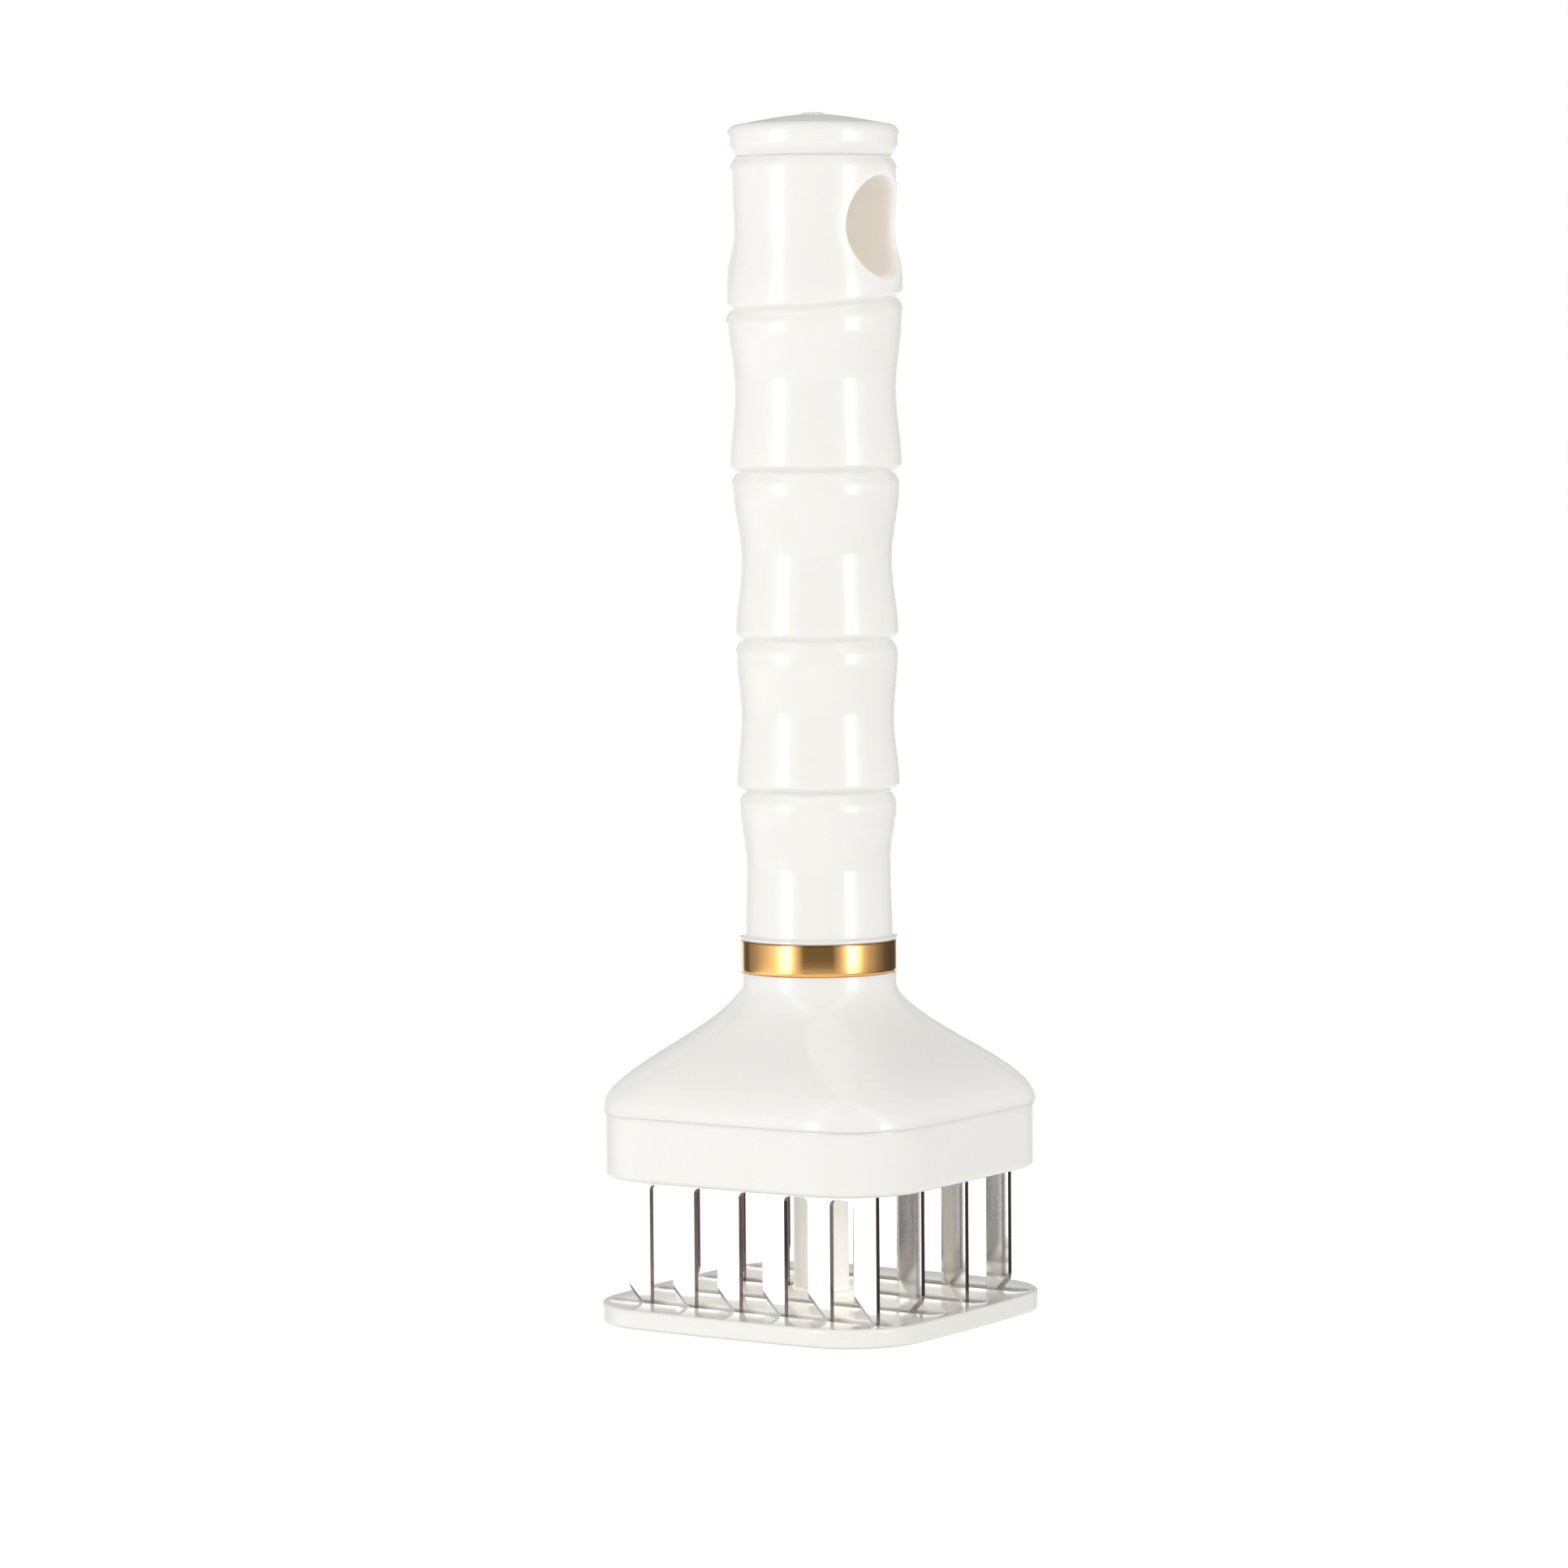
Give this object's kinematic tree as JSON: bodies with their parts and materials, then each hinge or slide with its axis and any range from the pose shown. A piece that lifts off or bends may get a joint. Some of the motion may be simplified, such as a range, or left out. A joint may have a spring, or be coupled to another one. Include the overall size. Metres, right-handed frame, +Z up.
{
  "type": "needle meat tenderizer",
  "caption": "Hand-pushed needle meat tenderizer with a bamboo-shaped handle, combs of steel blades and a sprung guard plate that slides up on a centre post.",
  "frame": {"origin": "middle of the guard plate's underside, on which the tool stands", "axes": "+Z up along the handle, toward the hang hole; X along the blade combs; Y across the four rows"},
  "size_m": [0.056, 0.056, 0.183],
  "materials": {
    "handle_plastic": "polished warm white moulding",
    "cap_plastic": "polished warm white moulding",
    "gold_ring": "polished gold plating",
    "shell_plastic": "polished warm white moulding",
    "base_plastic": "polished warm white moulding",
    "inner_plastic": "plain moulded",
    "blade_steel": "mirror-polished stainless sheet with ground bevels",
    "rod_steel": "drawn stainless",
    "screw_steel": "bright zinc",
    "guard_plastic": "polished white moulding",
    "post_plastic": "polished warm white moulding",
    "spring_steel": "bright spring wire"
  },
  "bodies": {
    "tool": {"handle_body": "handle_plastic", "end_cap": "cap_plastic", "collar_ring": "gold_ring", "head_shell": "shell_plastic", "head_base": "base_plastic", "guide_bush": "inner_plastic", "blade_comb_1": "blade_steel", "blade_comb_2": "blade_steel", "blade_comb_3": "blade_steel", "blade_comb_4": "blade_steel", "comb_rods": "rod_steel", "comb_spacers": "inner_plastic", "base_screws": "screw_steel", "return_spring": "spring_steel", "spring_seat": "inner_plastic"},
    "guard": {"guard_plate": "guard_plastic", "guard_post": "post_plastic", "stop_washer": "rod_steel", "stop_screw": "screw_steel", "plate_screw": "screw_steel"}
  },
  "joints": [
    {"name": "guard_slide", "type": "slide", "parent": "tool", "child": "guard", "axis": [0, 0, 1], "range_m": [0, 0.0188], "stiffness_N_per_m": 300, "springref_m": -0.012, "deforming": ["return_spring"]}
  ]
}
